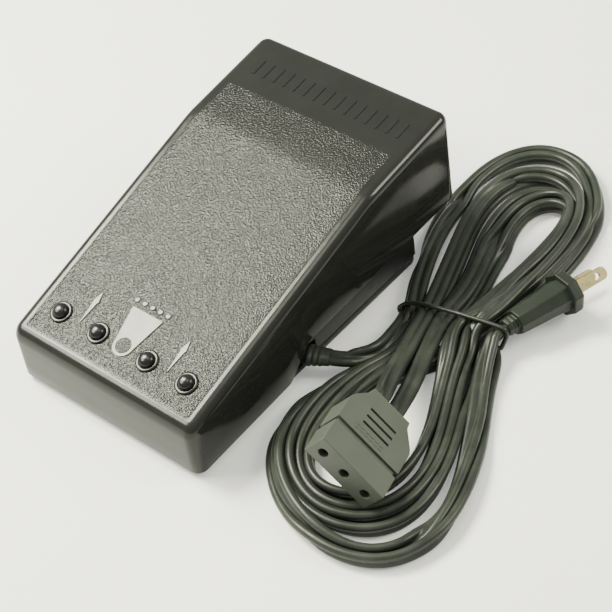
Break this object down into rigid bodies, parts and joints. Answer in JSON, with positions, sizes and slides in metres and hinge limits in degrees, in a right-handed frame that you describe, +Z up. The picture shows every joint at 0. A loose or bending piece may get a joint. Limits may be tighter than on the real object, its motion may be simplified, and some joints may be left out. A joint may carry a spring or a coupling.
{
  "type": "sewing machine foot pedal",
  "caption": "Electronic foot pedal for a sewing machine, with a hinged tread cover and a tied hank of cords with its connector and plug.",
  "frame": {"origin": "centre of the pedal's footprint, on the floor that its four rubber feet stand on", "axes": "+Z up, +Y from the heel to the toe, +X towards the side that the cord leaves"},
  "size_m": [0.2209, 0.2612, 0.0755],
  "materials": {
    "cover_plastic": "glossy black, with a fine pebble grain on the tread",
    "base_plastic": "satin black",
    "stud_rubber": "soft black rubber with a slight sheen",
    "foot_rubber": "matte black rubber",
    "cord_vinyl": "dark grey-green flexible vinyl, semi-gloss",
    "connector_plastic": "mid grey, satin, slightly worn",
    "plug_plastic": "dark grey-green vinyl, satin",
    "steel": "zinc plated",
    "brass": "bright, slightly tarnished",
    "aluminium": "matte",
    "board_resin": "tan laminate",
    "part_black": "satin black",
    "film_yellow": "smooth yellow resin",
    "ferrite": "dull brown-grey core wound with enamelled wire",
    "ceramic": "dull lacquered ceramic"
  },
  "bodies": {
    "base": {"bottom_plate": "base_plastic", "base_housing": "base_plastic", "rubber_foot_1": "foot_rubber", "rubber_foot_2": "foot_rubber", "rubber_foot_3": "foot_rubber", "rubber_foot_4": "foot_rubber", "plate_screw_1": "steel", "plate_screw_2": "steel", "plate_screw_3": "steel", "plate_screw_4": "steel", "hinge_pin_left": "steel", "hinge_pin_right": "steel", "slide_potentiometer": "part_black", "return_spring_left": "steel", "return_spring_right": "steel", "plunger_spring": "steel", "circuit_board": "board_resin", "board_screw_1": "steel", "board_screw_2": "steel", "board_screw_3": "steel", "board_screw_4": "steel", "triac": "part_black", "heat_sink": "aluminium", "film_capacitor": "film_yellow", "choke_coil": "ferrite", "resistor_1": "ceramic", "resistor_2": "ceramic", "terminal_block": "part_black", "inner_wire_1": "part_black", "inner_wire_2": "part_black", "cord_bushing": "cord_vinyl", "pedal_lead": "cord_vinyl", "cord_hank": "cord_vinyl", "cord_tie": "cord_vinyl", "connector_body": "connector_plastic", "connector_contact_1": "brass", "connector_contact_2": "brass", "connector_contact_3": "brass", "connector_tail_pedal": "cord_vinyl", "connector_tail_mains": "cord_vinyl", "plug_body": "plug_plastic", "plug_blade_1": "brass", "plug_blade_2": "brass"},
    "tread": {"tread_cover": "cover_plastic", "grip_stud_1": "stud_rubber", "grip_stud_2": "stud_rubber", "grip_stud_3": "stud_rubber", "grip_stud_4": "stud_rubber"},
    "plunger": {"plunger": "part_black", "wiper_arm": "brass"}
  },
  "joints": [
    {"name": "tread_hinge", "type": "hinge", "parent": "base", "child": "tread", "pos_m": [0, -0.0784, 0.0113], "axis": [-1, 0, 0], "range_deg": [0, 3], "stiffness_Nm_per_rad": 4, "springref_deg": -8.59, "deforming": ["return_spring_left", "return_spring_right"]},
    {"name": "plunger_slide", "type": "slide", "parent": "base", "child": "plunger", "axis": [0, 0, -1], "range_m": [0, 0.0057], "deforming": ["plunger_spring"]}
  ],
  "couplings": [
    {"joint": "plunger_slide", "follows": "tread_hinge", "m_per_rad": 0.1045}
  ]
}
